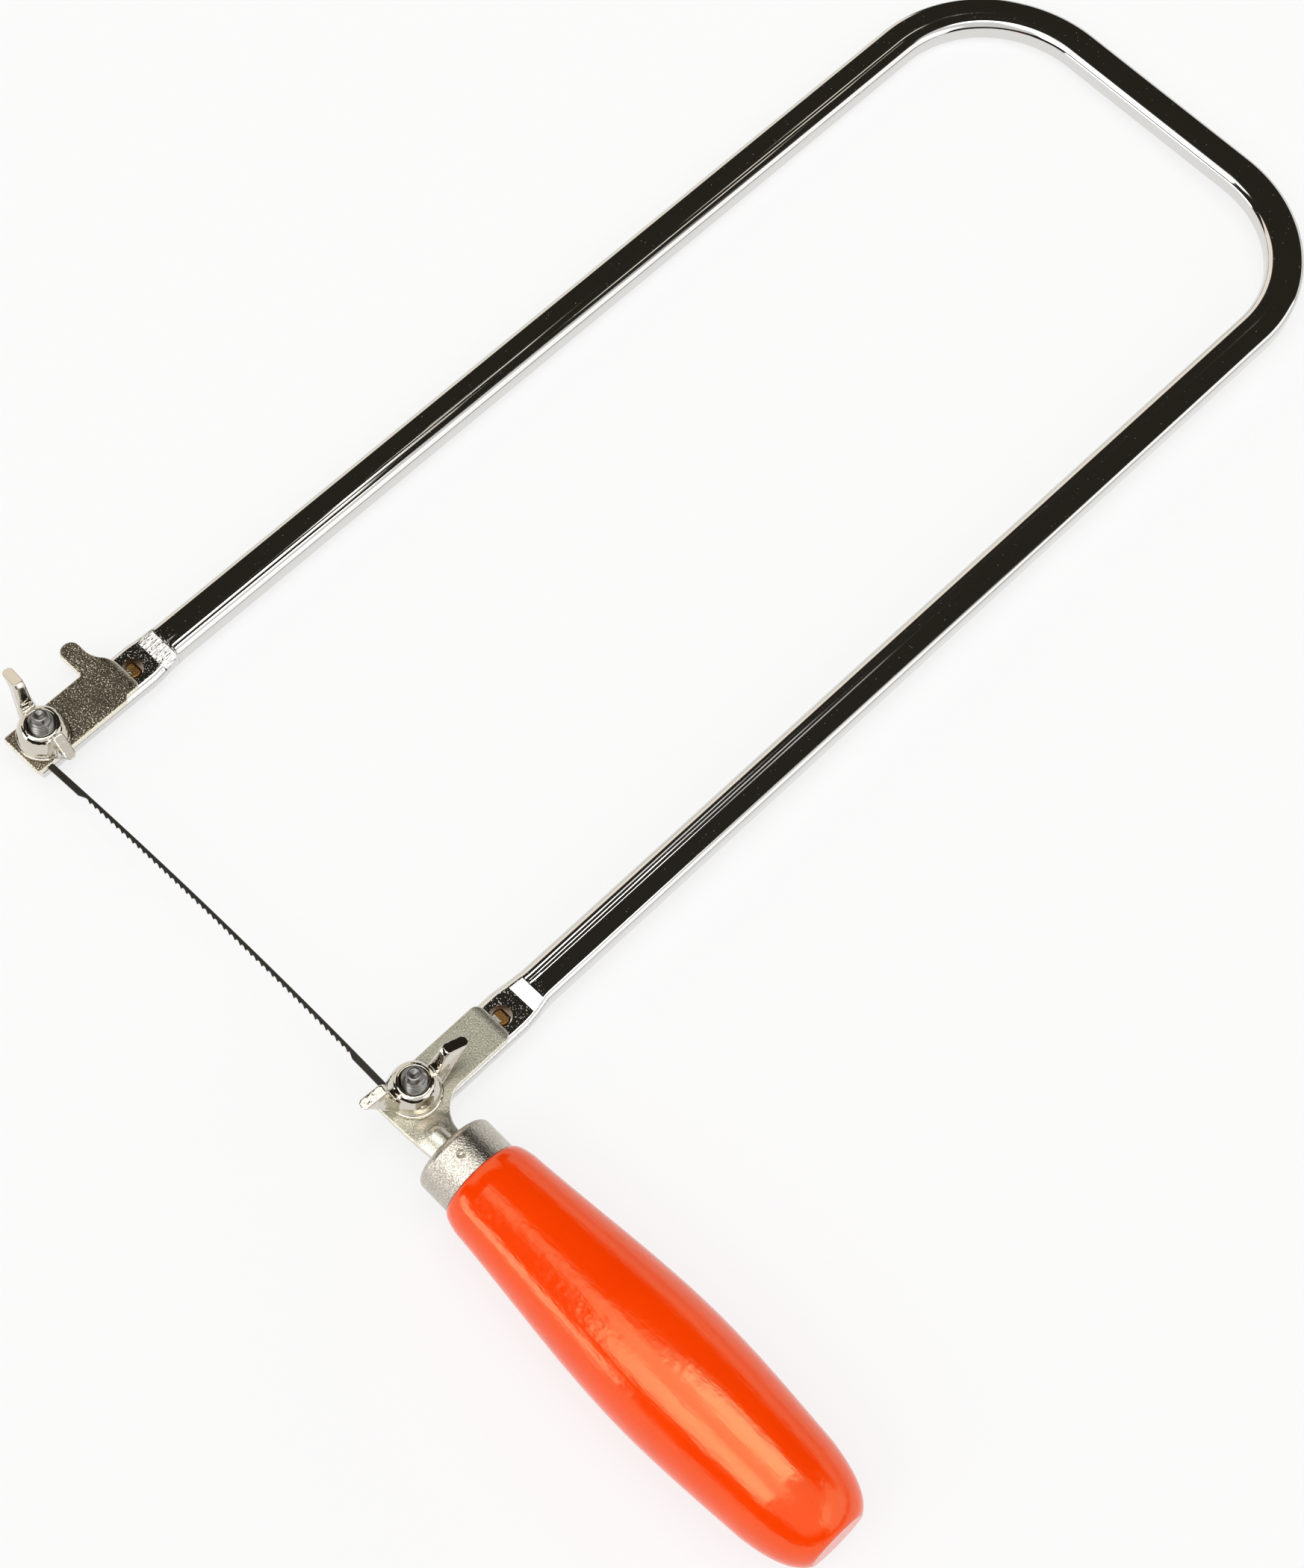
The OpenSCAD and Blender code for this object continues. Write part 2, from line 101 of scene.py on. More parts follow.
# Each panel: where it faces from, its wide axis, half its width and height as tangents, and its light.
panels = (
    ((0.012, 0.09, 1.0), (0.97, -0.25, 0), 0.125, 0.26, (4.2, 4.2, 4.2)),
    ((-0.10, -0.33, 0.94), (1, 0, 0), 0.36, 0.20, (1.6, 1.6, 1.6)),
    ((-0.10, -0.73, 0.67), (1, 0, 0), 0.235, 0.25, (3.6, 3.6, 3.6)),
    ((0.78, 0.414, 0.469), (-0.414, 0.78, 0), 0.58, 0.40, (1.3, 1.3, 1.3)),
    ((0.0, 0.97, 0.24), (1, 0, 0), 0.6, 0.18, (0.9, 0.9, 0.9)),
    ((-0.897, 0.126, 0.42), (-0.126, -0.897, 0), 0.6, 0.36, (1.05, 0.97, 0.86)),
    ((-0.48, -0.875, 0.065), (0.875, -0.48, 0), 0.27, 0.15, (4.0, 4.0, 4.0)))
panel_soft, least_depth = 0.025, 0.1
for facing, wide, half_width, half_height, light in panels:
    facing, wide = Vector(facing).normalized(), Vector(wide)
    wide = (wide - facing * facing.dot(wide)).normalized()
    depth, aside, above = [
        add(tree, "ShaderNodeVectorMath", {"operation": "DOT_PRODUCT"}, {0: direction, 1: axis})["Value"]
        for axis in (facing, wide, facing.cross(wide))]
    shown = add(tree, "ShaderNodeMath", {"operation": "GREATER_THAN"}, {0: depth, 1: least_depth})[0]
    for offset, half in ((aside, half_width), (above, half_height)):
        tangent = add(tree, "ShaderNodeMath", {"operation": "DIVIDE"}, {0: offset, 1: depth})[0]
        tangent = add(tree, "ShaderNodeMath", {"operation": "ABSOLUTE"}, {0: tangent})[0]
        inside = add(tree, "ShaderNodeMapRange", {"interpolation_type": "SMOOTHSTEP"}, {
            0: tangent, 1: half + panel_soft, 2: half - panel_soft})[0]
        shown = add(tree, "ShaderNodeMath", {"operation": "MULTIPLY"}, {0: shown, 1: inside})[0]
    lit = add(tree, "ShaderNodeVectorMath", {"operation": "MULTIPLY_ADD"}, {0: shown, 1: light, 2: lit})[0]
seen = add(tree, "ShaderNodeLightPath")["Is Camera Ray"]
shade = add(tree, "ShaderNodeMix", {"data_type": "RGBA"}, {0: seen, 6: lit, 7: pale})[2]
sky = add(tree, "ShaderNodeBackground", {}, {0: shade})[0]
add(tree, "ShaderNodeOutputWorld", {}, {0: sky})


# Floor: a plain pale sheet under the saw, which lies on the front bolt's head, the front arm's bend and
# the handle's belly. In view and in mirrors it is lightened, so that the saw's shadow stays faint.
lightening = 0.8
floor_level, floor_x, floor_y, floor_half = -0.00976, -0.0388, 0.0060, 4.0
paper = bpy.data.materials.new("pale_paper")
paper.use_nodes = True
tree = paper.node_tree
tree.nodes.clear()
sheet = add(tree, "ShaderNodeBsdfDiffuse", {}, {"Color": pale})[0]
glow = add(tree, "ShaderNodeEmission", {}, {"Color": pale})[0]
path = add(tree, "ShaderNodeLightPath")
seen = add(tree, "ShaderNodeMath", {"operation": "MAXIMUM"}, {
    0: path["Is Camera Ray"], 1: path["Is Glossy Ray"]})[0]
seen = add(tree, "ShaderNodeMath", {"operation": "MAXIMUM"}, {0: seen, 1: path["Is Transmission Ray"]})[0]
share = add(tree, "ShaderNodeMath", {"operation": "MULTIPLY"}, {0: seen, 1: lightening})[0]
mixed = add(tree, "ShaderNodeMixShader", {}, {0: share, 1: sheet, 2: glow})[0]
add(tree, "ShaderNodeOutputMaterial", {}, {"Surface": mixed})
ground = bmesh.new()
bmesh.ops.create_grid(ground, x_segments=1, y_segments=1, size=floor_half)
for corner in ground.verts:
    corner.co.z = floor_level + floor_x * corner.co.x + floor_y * corner.co.y
floor_mesh = bpy.data.meshes.new("floor")
ground.to_mesh(floor_mesh)
ground.free()
floor_mesh.materials.append(paper)
floor = bpy.data.objects.new("floor", floor_mesh)
bpy.context.scene.collection.objects.link(floor)


# Bow: one length of drawn spring-steel bar, bent to a U with two round corners. Its ends are pressed
# flat and wide, pierced for the bolt and the plate's nib, and the whole is bright chromium plated.
def made_piece(name, shape, material, body, node, sharp=30, cutters=(), added=None):
    """Turns a shape in millimetres into a piece that stands for a CAD node and rides on its body.

    Cutters bore the shape, and what is added to it afterwards keeps its own closed shells.
    """
    weld, millimetre = 0.002, 0.001

    def as_object(label, solid):
        bmesh.ops.remove_doubles(solid, verts=solid.verts, dist=weld)
        bmesh.ops.recalc_face_normals(solid, faces=solid.faces)
        bmesh.ops.scale(solid, vec=[millimetre] * 3, verts=solid.verts)
        mesh = bpy.data.meshes.new(label)
        solid.to_mesh(mesh)
        solid.free()
        made = bpy.data.objects.new(label, mesh)
        bpy.context.scene.collection.objects.link(made)
        return made

    piece = as_object(name, shape)
    for cutter in cutters:
        tool = as_object(name + "_cutter", cutter)
        boring = piece.modifiers.new("bore", "BOOLEAN")
        boring.operation = "DIFFERENCE"
        boring.solver = "EXACT"
        boring.object = tool
        graph = bpy.context.evaluated_depsgraph_get()
        bored = bpy.data.meshes.new_from_object(piece.evaluated_get(graph))
        piece.modifiers.clear()
        piece.data = bored
        bpy.data.objects.remove(tool)
    if added:
        extra = as_object(name + "_added", added)
        whole = bmesh.new()
        whole.from_mesh(piece.data)
        whole.from_mesh(extra.data)
        whole.to_mesh(piece.data)
        whole.free()
        bpy.data.objects.remove(extra)
    piece.data.name = name
    piece.data.materials.clear()
    piece.data.materials.append(material)
    piece.data.shade_smooth()
    piece.data.set_sharp_from_angle(angle=radians(sharp))
    weighted = piece.modifiers.new("flat_faces_stay_flat", "WEIGHTED_NORMAL")
    weighted.keep_sharp = True
    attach(piece, body)
    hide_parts(node)


def material_of(name, sockets):
    """A new material, with its tree, its shader and its place on the piece in millimetres."""
    material = bpy.data.materials.new(name)
    material.use_nodes = True
    tree = material.node_tree
    shader = tree.nodes["Principled BSDF"]
    for socket, value in sockets.items():
        shader.inputs[socket].default_value = value
    metres = add(tree, "ShaderNodeTexCoord")["Object"]
    place = add(tree, "ShaderNodeVectorMath", {"operation": "SCALE"}, {0: metres, "Scale": 1000})[0]
    return material, tree, shader, place


def pulled(shape, edges, move):
    """Extrudes an open ring of edges and moves it. Returns the new ring and its vertices."""
    made = bmesh.ops.extrude_edge_only(shape, edges=edges)["geom"]
    verts = [g for g in made if isinstance(g, bmesh.types.BMVert)]
    bmesh.ops.translate(shape, verts=verts, vec=move)
    fresh = set(verts)
    return [g for g in made if isinstance(g, bmesh.types.BMEdge) and fresh.issuperset(g.verts)], verts


def eased(t):
    """A smooth step from 0 to 1."""
    t = min(max(t, 0), 1)
    return t * t * (3 - 2 * t)


arm_x, bolt_y = 62.5, 3.45
bow_reach, corner_r = 335.0, 35.0
bar_w, bar_h, bar_round, throat_round, end_round = 10.0, 6.0, 1.6, 2.3, 0.5
flat_w, flat_h, flat_past_bolt, flat_reach, flare_len = 12.4, 4.0, 5.8, 30.0, 10.0
flat_top, bar_z, flat_bottom = -0.25, -2.25, -4.25
heel_hole_r, heel_hole_reach = 2.6, 27.8
die_lines, line_w, line_deep = (2.3, 1.5, 0.7), 0.5, 0.06
bend_y = bolt_y + bow_reach - corner_r
bend_x = arm_x - corner_r
taper = (flat_w - bar_w) / 2

# The section of the front arm's flat end, from the throat edge across the top and back below, has
# three points for each die line.
bow = bmesh.new()
line_points = [line + taper + side * line_w / 2 for line in die_lines for side in (1, 0, -1)]
corners = [(x, 1) for x in (flat_w / 2, *line_points, -flat_w / 2)] + [(-flat_w / 2, -1), (flat_w / 2, -1)]
section = [bow.verts.new((-arm_x + x, bolt_y - flat_past_bolt, bar_z + side * flat_h / 2))
           for x, side in corners]
bow.faces.new(section)
for rounded, rounding in ((section[:1], throat_round), (section[-3:], bar_round)):
    bmesh.ops.bevel(bow, geom=rounded, offset=rounding, segments=16, profile=0.5, affect="VERTICES",
                    material=-1)
end_rim = bow.edges[:]
ring, _ = pulled(bow, end_rim, (0, flat_past_bolt + flat_reach, 0))
# In the flare the bar narrows smoothly, and rises by a plane ramp over a part of the length.
flare_steps, ramp_from, ramp_to = 25, 0.4, 0.76
narrowed = raised = 0.0
for step in range(1, flare_steps + 1):
    ring, verts = pulled(bow, ring, (0, flare_len / flare_steps, 0))
    t = step / flare_steps
    narrow = taper * eased(t)
    rise = (bar_h - flat_h) / 2 * min(max((t - ramp_from) / (ramp_to - ramp_from), 0), 1)
    for v in verts:
        v.co.x -= copysign(narrow - narrowed, v.co.x + arm_x)
        v.co.z += copysign(rise - raised, v.co.z - bar_z)
    narrowed, raised = narrow, rise
lead, arm_steps, bend_steps = 2.5, 9, 40
ring, _ = pulled(bow, ring, (0, lead, 0))
for step in range(arm_steps):
    ring, _ = pulled(bow, ring, (0, (bend_y - bolt_y - flat_reach - flare_len - lead) / arm_steps, 0))
bent = bmesh.ops.spin(bow, geom=ring, cent=(-bend_x, bend_y, bar_z), axis=(0, 0, 1), angle=-pi / 2,
                      steps=bend_steps)
ring = [g for g in bent["geom_last"] if isinstance(g, bmesh.types.BMEdge)]
pulled(bow, ring, (bend_x, 0, 0))
# The drawing die leaves three scored lines along the throat side of the bar's top, deeper in places.
flare_start = bolt_y + flat_reach
for v in bow.verts:
    across = Vector((max(-v.co.x - bend_x, 0), max(v.co.y - bend_y, 0))).length - corner_r
    across += taper * (1 - eased((v.co.y - flare_start) / flare_len))
    if v.co.z > bar_z + bar_h / 2 - 0.01 and v.co.y > flare_start + ramp_to * flare_len + 0.1:
        for line in die_lines:
            if abs(across + line) < 0.05:
                v.co.z -= line_deep * (0.7 + 0.3 * sin(v.co.y / 23 + 2 * line))
bmesh.ops.bevel(bow, geom=end_rim, offset=end_round, segments=3, profile=0.5, affect="EDGES", material=-1)
bmesh.ops.mirror(bow, geom=bow.verts[:] + bow.edges[:] + bow.faces[:], axis="X", merge_dist=0.01)

# Bright chromium plate over drawn steel: a neutral mirror with fine streaks along the bar, press
# marks on the front ramp and pits, and dark brown painted into the heel holes as their shade.
# The dark brown is painted shade for the heel holes and for the nibs that sit in them.
plating, hole_shade_brown = linear("#DCDBD8"), linear("#7C5C34")
chrome, tree, shader, place = material_of("bright_chrome_plate", {"Metallic": 1.0})
at = add(tree, "ShaderNodeSeparateXYZ", {}, {0: place})
side_x = add(tree, "ShaderNodeMath", {"operation": "ABSOLUTE"}, {0: at["X"]})[0]
folded = add(tree, "ShaderNodeCombineXYZ", {}, {0: side_x, 1: at["Y"]})[0]
from_bend = add(tree, "ShaderNodeVectorMath", {"operation": "SUBTRACT"}, {
    0: folded, 1: (bend_x, bend_y, 0)})[0]
from_bend = add(tree, "ShaderNodeVectorMath", {"operation": "MAXIMUM"}, {0: from_bend, 1: (0, 0, 0)})[0]
out = add(tree, "ShaderNodeVectorMath", {"operation": "LENGTH"}, {0: from_bend})["Value"]
across = add(tree, "ShaderNodeMath", {"operation": "SUBTRACT"}, {0: out, 1: corner_r})[0]
# Drawing streaks about 0.3 mm wide, which run along the bar and drift slowly across it.
line_place = add(tree, "ShaderNodeCombineXYZ", {}, {0: across})[0]
drift = add(tree, "ShaderNodeVectorMath", {"operation": "MULTIPLY"}, {0: place, 1: (0.0015, 0.0015, 0)})[0]
line_place = add(tree, "ShaderNodeVectorMath", {"operation": "ADD"}, {0: line_place, 1: drift})[0]
lines = add(tree, "ShaderNodeTexNoise", {}, {
    "Vector": line_place, "Scale": 2.4, "Detail": 2.0, "Roughness": 0.6})[0]
# Press marks: streaks 0.7 mm wide on the front ramp, where the bar was nipped.
ramp_y = bolt_y + flat_reach + (ramp_from + ramp_to) / 2 * flare_len
off_ramp = add(tree, "ShaderNodeMath", {"operation": "SUBTRACT"}, {0: at["Y"], 1: ramp_y})[0]
off_ramp = add(tree, "ShaderNodeMath", {"operation": "ABSOLUTE"}, {0: off_ramp})[0]
pressed = add(tree, "ShaderNodeMapRange", {"interpolation_type": "SMOOTHSTEP"}, {
    0: off_ramp, 1: 2.6, 2: 1.8})[0]
front = add(tree, "ShaderNodeMath", {"operation": "LESS_THAN"}, {0: at["X"], 1: 0.0})[0]
pressed = add(tree, "ShaderNodeMath", {"operation": "MULTIPLY"}, {0: pressed, 1: front})[0]
streak_place = add(tree, "ShaderNodeVectorMath", {"operation": "MULTIPLY"}, {0: place, 1: (1.0, 0.2, 0.2)})[0]
streaks = add(tree, "ShaderNodeTexNoise", {}, {
    "Vector": streak_place, "Scale": 1.2, "Detail": 2.0, "Roughness": 0.6})[0]
streaks = add(tree, "ShaderNodeMath", {"operation": "MULTIPLY"}, {0: streaks, 1: pressed})[0]
# Pits about 0.3 mm across, thick on the flats and thin along the bar.
grit = add(tree, "ShaderNodeTexNoise", {}, {"Vector": place, "Scale": 2.6, "Detail": 1.0})[0]
on_flat = add(tree, "ShaderNodeMapRange", {"interpolation_type": "SMOOTHSTEP"}, {
    0: at["Y"], 1: 47.0, 2: 40.0})[0]
pit_edge = add(tree, "ShaderNodeMapRange", {}, {0: on_flat, 3: 0.78, 4: 0.66})[0]
pits = add(tree, "ShaderNodeMath", {"operation": "SUBTRACT"}, {0: grit, 1: pit_edge})[0]
pits = add(tree, "ShaderNodeMath", {"operation": "MAXIMUM"}, {0: pits, 1: 0.0})[0]
relief = add(tree, "ShaderNodeBump", {}, {"Height": lines, "Distance": 0.000008, "Strength": 1.0})[0]
relief = add(tree, "ShaderNodeBump", {}, {
    "Height": streaks, "Distance": 0.0005, "Strength": 1.0, "Normal": relief})[0]
relief = add(tree, "ShaderNodeBump", {}, {
    "Height": pits, "Distance": 0.0012, "Strength": 1.0, "Normal": relief})[0]
tree.links.new(relief, shader.inputs["Normal"])
# Painted shade: dark brown inside the heel holes.
from_hole = add(tree, "ShaderNodeVectorMath", {"operation": "DISTANCE"}, {
    0: folded, 1: (arm_x, bolt_y + heel_hole_reach, 0)})["Value"]
in_hole = add(tree, "ShaderNodeMath", {"operation": "LESS_THAN"}, {0: from_hole, 1: heel_hole_r + 0.1})[0]
tone = add(tree, "ShaderNodeMix", {"data_type": "RGBA"}, {0: in_hole, 6: plating, 7: hole_shade_brown})[2]
tree.links.new(tone, shader.inputs["Base Color"])
dull = add(tree, "ShaderNodeMapRange", {}, {0: in_hole, 3: 0.07, 4: 0.3})[0]
tree.links.new(dull, shader.inputs["Roughness"])


def cylinder(radius, x, y):
    """A round cutter standing on Z, long enough to pass through any piece."""
    shape = bmesh.new()
    bmesh.ops.create_cone(shape, cap_ends=True, segments=48, radius1=radius, radius2=radius, depth=20,
                          matrix=Matrix.Translation((x, y, 0)))
    return shape


neck_hole, neck_through = 6.1, 8.0
cutters = []
for sign in (-1, 1):
    cutters.append(cylinder(heel_hole_r, sign * arm_x, bolt_y + heel_hole_reach))
    square = bmesh.new()
    bmesh.ops.create_cube(square, size=1.0)
    bmesh.ops.scale(square, vec=(neck_hole, neck_hole, neck_through), verts=square.verts)
    bmesh.ops.translate(square, vec=(sign * arm_x, bolt_y, bar_z), verts=square.verts)
    cutters.append(square)
made_piece("bow", bow, chrome, "bow", "bow_frame", sharp=8, cutters=cutters)


# Clamp bolts: two turned steel bolts with domed heads under the arms and square necks that stop them
# turning. The rolled thread rises through plate, washer and nut and ends in a plain point.
def turned(shape, profile, steps=64):
    """Spins a profile of (radius, height) points round the Z axis."""
    verts = [shape.verts.new((r, 0, z)) for r, z in profile]
    edges = [shape.edges.new(pair) for pair in zip(verts, verts[1:])]
    bmesh.ops.spin(shape, geom=verts + edges, cent=(0, 0, 0), axis=(0, 0, 1), angle=2 * pi,
                   steps=steps, use_merge=True)
    bmesh.ops.remove_doubles(shape, verts=shape.verts, dist=0.002)


# Plain turned steel under a film of oil: mid grey with a soft sheen and darker clouds.
steel, tree, shader, place = material_of("oiled_turned_steel", {"Metallic": 1.0})
mottle = add(tree, "ShaderNodeTexNoise", {}, {"Vector": place, "Scale": 1.4, "Detail": 4.0})[0]
tone = add(tree, "ShaderNodeMix", {"data_type": "RGBA"}, {
    0: mottle, 6: linear("#676663"), 7: linear("#9C9A96")})[2]
tree.links.new(tone, shader.inputs["Base Color"])
sheen = add(tree, "ShaderNodeMapRange", {}, {0: mottle, 3: 0.22, 4: 0.4})[0]
tree.links.new(sheen, shader.inputs["Roughness"])

nut_seat = 2.95
bolt_tip = nut_seat + 10.4
head_r, head_h, head_gap = 5.5, 3.0, 0.02
neck_w, neck_h, neck_mid = 6.0, 3.2, 1.4
shank_r, root_r, crest_r, pitch, thread_turns, turn_steps = 2.6, 2.5, 3.0, 1.0, 9, 40
point_r, point_len = 1.8, 1.9
thread_end = bolt_tip - point_len
thread_start = thread_end - 10.0
dome_r = (head_r ** 2 + head_h ** 2) / (2 * head_h)
dome_z = flat_bottom - head_h + dome_r
for name, sign in (("front_bolt", -1), ("rear_bolt", 1)):
    bolt = bmesh.new()
    dome = [(dome_r * sin(radians(a)), dome_z - dome_r * cos(radians(a))) for a in range(0, 57, 4)]
    dome = [(r, z) for r, z in dome if z < flat_bottom - 0.5]
    turned(bolt, dome + [
        (head_r - 0.15, flat_bottom - 0.45), (head_r, flat_bottom - 0.25), (head_r, flat_bottom - head_gap),
        (shank_r, flat_bottom - head_gap), (shank_r, thread_start), (root_r, thread_start + 0.3),
        (root_r, thread_end), (point_r + 0.1, thread_end + 0.35), (point_r, thread_end + 0.55),
        (point_r, bolt_tip - 0.45), (point_r - 0.15, bolt_tip - 0.12), (point_r - 0.45, bolt_tip),
        (point_r - 0.8, bolt_tip - 0.05), (0.5, bolt_tip - 0.4), (0, bolt_tip - 0.45)])
    neck = bmesh.ops.create_cube(bolt, size=1.0)["verts"]
    bmesh.ops.scale(bolt, vec=(neck_w, neck_w, neck_h), verts=neck)
    bmesh.ops.translate(bolt, vec=(0, 0, flat_bottom + neck_mid), verts=neck)
    ridge = [bolt.verts.new((r, 0, thread_start + z * pitch)) for r, z in (
        (root_r - 0.2, -0.1), (root_r, 0), (crest_r, 0.36), (crest_r, 0.5), (root_r, 0.86),
        (root_r - 0.2, 0.96))]
    section = bolt.faces.new(ridge)
    bmesh.ops.spin(bolt, geom=[section] + section.edges[:] + ridge, cent=(0, 0, 0), axis=(0, 0, 1),
                   angle=thread_turns * 2 * pi, steps=thread_turns * turn_steps,
                   dvec=(0, 0, pitch / turn_steps))
    bmesh.ops.translate(bolt, vec=(sign * arm_x, bolt_y, 0), verts=bolt.verts)
    made_piece(name, bolt, steel, "bow", name, sharp=40)


# Front clamp plate: a stamped steel plate that nips the blade against the arm. A tab on its outer
# edge is lifted with the thumb, its heel is bent down, and a nib there drops into the heel hole.
def outlined(corners):
    """A flat face from (x, y, rounding) corners, each corner rounded along its edges."""
    shape = bmesh.new()
    points = [shape.verts.new((x, y, 0)) for x, y, _ in corners]
    shape.faces.new(points)
    for point, (_, _, rounding) in zip(points, corners):
        if rounding:
            bmesh.ops.bevel(shape, geom=[point], offset=rounding, segments=8, profile=0.5,
                            affect="VERTICES", material=-1)
    return shape


def stamped(shape, thickness, edge):
    """Gives a flat face its thickness upwards and rounds its upper and lower rims."""
    up = bmesh.ops.extrude_face_region(shape, geom=shape.faces[:])["geom"]
    upper = [g for g in up if isinstance(g, bmesh.types.BMVert)]
    bmesh.ops.translate(shape, vec=(0, 0, thickness), verts=upper)
    bmesh.ops.recalc_face_normals(shape, faces=shape.faces)
    rims = [e for e in shape.edges if abs(e.verts[0].co.z - e.verts[1].co.z) < 0.01]
    bmesh.ops.bevel(shape, geom=rims, offset=edge, segments=3, profile=0.5, affect="EDGES", material=-1,
                    clamp_overlap=True)


def scored(shape, axis, places, inside=lambda point: True):
    """Cuts a shape, or the part of it inside a bound, across by planes, so that it can bend there."""
    for place in places:
        normal = Vector((0, 0, 0))
        normal[axis] = 1
        verts = [v for v in shape.verts if inside(v.co)]
        bounded = set(verts)
        joins = [g for g in shape.edges[:] + shape.faces[:] if bounded.issuperset(g.verts)]
        bmesh.ops.bisect_plane(shape, geom=verts + joins, dist=0.0001, plane_co=normal * place,
                               plane_no=normal)


def heeled(shape, heel):
    """Bends a plate's heel down to the arm."""
    bend_len, bend_gap, drop = 2.6, 0.26, 0.62
    bend_from = heel - bend_len
    scored(shape, 1, [bend_from + bend_gap * i for i in range(10)])
    for v in shape.verts:
        if v.co.y > bend_from:
            v.co.z -= drop * ((v.co.y - bend_from) / (heel - bend_from)) ** 2


def heel_nib(x):
    """The nib that hangs from a plate's heel into the arm's hole, and the neck that holds it."""
    nib_r, nib_taper, nib_low, nib_high = 2.3, 0.3, flat_bottom + 0.3, flat_top - 0.5
    nib_cut, nib_round = 1.7, 0.7
    neck_size, neck_back, neck_z = (2.4, 1.1, 2.0), 1.75, -0.3
    hole_y = bolt_y + heel_hole_reach
    shape = bmesh.new()
    bmesh.ops.create_cone(shape, cap_ends=True, segments=40, radius1=nib_r - nib_taper, radius2=nib_r,
                          depth=nib_high - nib_low,
                          matrix=Matrix.Translation((x, hole_y, (nib_low + nib_high) / 2)))
    cut = bmesh.ops.bisect_plane(shape, geom=shape.verts[:] + shape.edges[:] + shape.faces[:], dist=0.0001,
                                 plane_co=(x, hole_y + nib_cut, 0), plane_no=(0, 1, 0), clear_outer=True)
    cut = [g for g in cut["geom_cut"] if isinstance(g, bmesh.types.BMEdge)]
    bmesh.ops.contextual_create(shape, geom=cut)
    rim = [e for e in shape.edges if all(abs(v.co.z - nib_high) < 0.001 for v in e.verts)]
    bmesh.ops.bevel(shape, geom=rim, offset=nib_round, segments=4, profile=0.5, affect="EDGES", material=-1)
    neck = bmesh.ops.create_cube(shape, size=1.0)["verts"]
    bmesh.ops.scale(shape, vec=neck_size, verts=neck)
    bmesh.ops.translate(shape, vec=(x, hole_y - neck_back, neck_z), verts=neck)
    return shape


def shaded_nib(tree, place, tone):
    """Mixes dark brown, a painted shade, into a plate's colour below the sheet, where its nib sits in the
    hole.
    """
    height = add(tree, "ShaderNodeSeparateXYZ", {}, {0: place})["Z"]
    below = add(tree, "ShaderNodeMath", {"operation": "LESS_THAN"}, {0: height, 1: flat_top})[0]
    return add(tree, "ShaderNodeMix", {"data_type": "RGBA"}, {0: below, 6: tone, 7: hole_shade_brown})[2]


def upward(tree):
    """1 on the flat of a plate and 0 on its rounded rims."""
    normal = add(tree, "ShaderNodeNewGeometry")["True Normal"]
    height = add(tree, "ShaderNodeSeparateXYZ", {}, {0: normal})["Z"]
    return add(tree, "ShaderNodeMapRange", {"interpolation_type": "SMOOTHSTEP"}, {
        0: height, 1: 0.93, 2: 0.995})[0]


# Nickel plate over pickled steel sheet: a dark dull mirror strewn with rough specks about 0.35 mm
# across, thicker in some places than in others, painted bright as glints, with painted highlight on the rims.
etched, tree, shader, place = material_of("nickel_over_etched_sheet", {"Metallic": 1.0})
flat = upward(tree)
grit = add(tree, "ShaderNodeTexNoise", {}, {
    "Vector": place, "Scale": 2.8, "Detail": 2.0, "Roughness": 0.6})[0]
patch = add(tree, "ShaderNodeTexNoise", {}, {"Vector": place, "Scale": 0.22, "Detail": 2.0})[0]
edge = add(tree, "ShaderNodeMapRange", {}, {0: patch, 1: 0.3, 2: 0.7, 3: 0.64, 4: 0.55})[0]
# The specks are painted glints: pale spots that are also rougher.
speck = add(tree, "ShaderNodeMath", {"operation": "SUBTRACT"}, {0: grit, 1: edge})[0]
speck = add(tree, "ShaderNodeMapRange", {"interpolation_type": "SMOOTHSTEP"}, {0: speck, 1: 0.0, 2: 0.06})[0]
# Painted highlight: the rounded rims take the pale colour.
rim_highlight = add(tree, "ShaderNodeMapRange", {}, {0: flat, 3: 1.0, 4: 0.0})[0]
bright = add(tree, "ShaderNodeMath", {"operation": "MAXIMUM"}, {0: speck, 1: rim_highlight})[0]
tone = add(tree, "ShaderNodeMix", {"data_type": "RGBA"}, {
    0: bright, 6: linear("#675F50"), 7: linear("#F4ECD9")})[2]
# Below the sheet, on the nib, the colour is the hole's painted shade.
tree.links.new(shaded_nib(tree, place, tone), shader.inputs["Base Color"])
dull = add(tree, "ShaderNodeMath", {"operation": "MULTIPLY"}, {0: speck, 1: flat})[0]
dull = add(tree, "ShaderNodeMapRange", {}, {0: dull, 3: 0.26, 4: 0.6})[0]
tree.links.new(dull, shader.inputs["Roughness"])
relief = add(tree, "ShaderNodeBump", {}, {"Height": grit, "Distance": 0.00012, "Strength": 1.0})[0]
tree.links.new(relief, shader.inputs["Normal"])

plate_z, plate_t, plate_heel, plate_edge = 0.25, 1.5, 25.9, 0.42
plate_top = plate_z + plate_t
bolt_hole_r = 3.25
front_plate = outlined([
    (-6.4, -7.2, 0.9), (6.4, -7.2, 0.9), (6.4, 20.5, 0.4), (5.4, 21.4, 0.4), (5.4, plate_heel, 2.0),
    (-4.9, plate_heel, 2.4), (-8.4, 22.4, 2.2), (-15.4, 22.4, 2.5), (-15.4, 17.1, 2.5), (-6.4, 17.1, 0.4)])
stamped(front_plate, plate_t, plate_edge)
bmesh.ops.translate(front_plate, vec=(-arm_x, bolt_y, plate_z), verts=front_plate.verts)
heeled(front_plate, bolt_y + plate_heel)
made_piece("front_clamp_plate", front_plate, etched, "front_jaw", "front_clamp_plate",
           cutters=[cylinder(bolt_hole_r, -arm_x, bolt_y)], added=heel_nib(-arm_x))


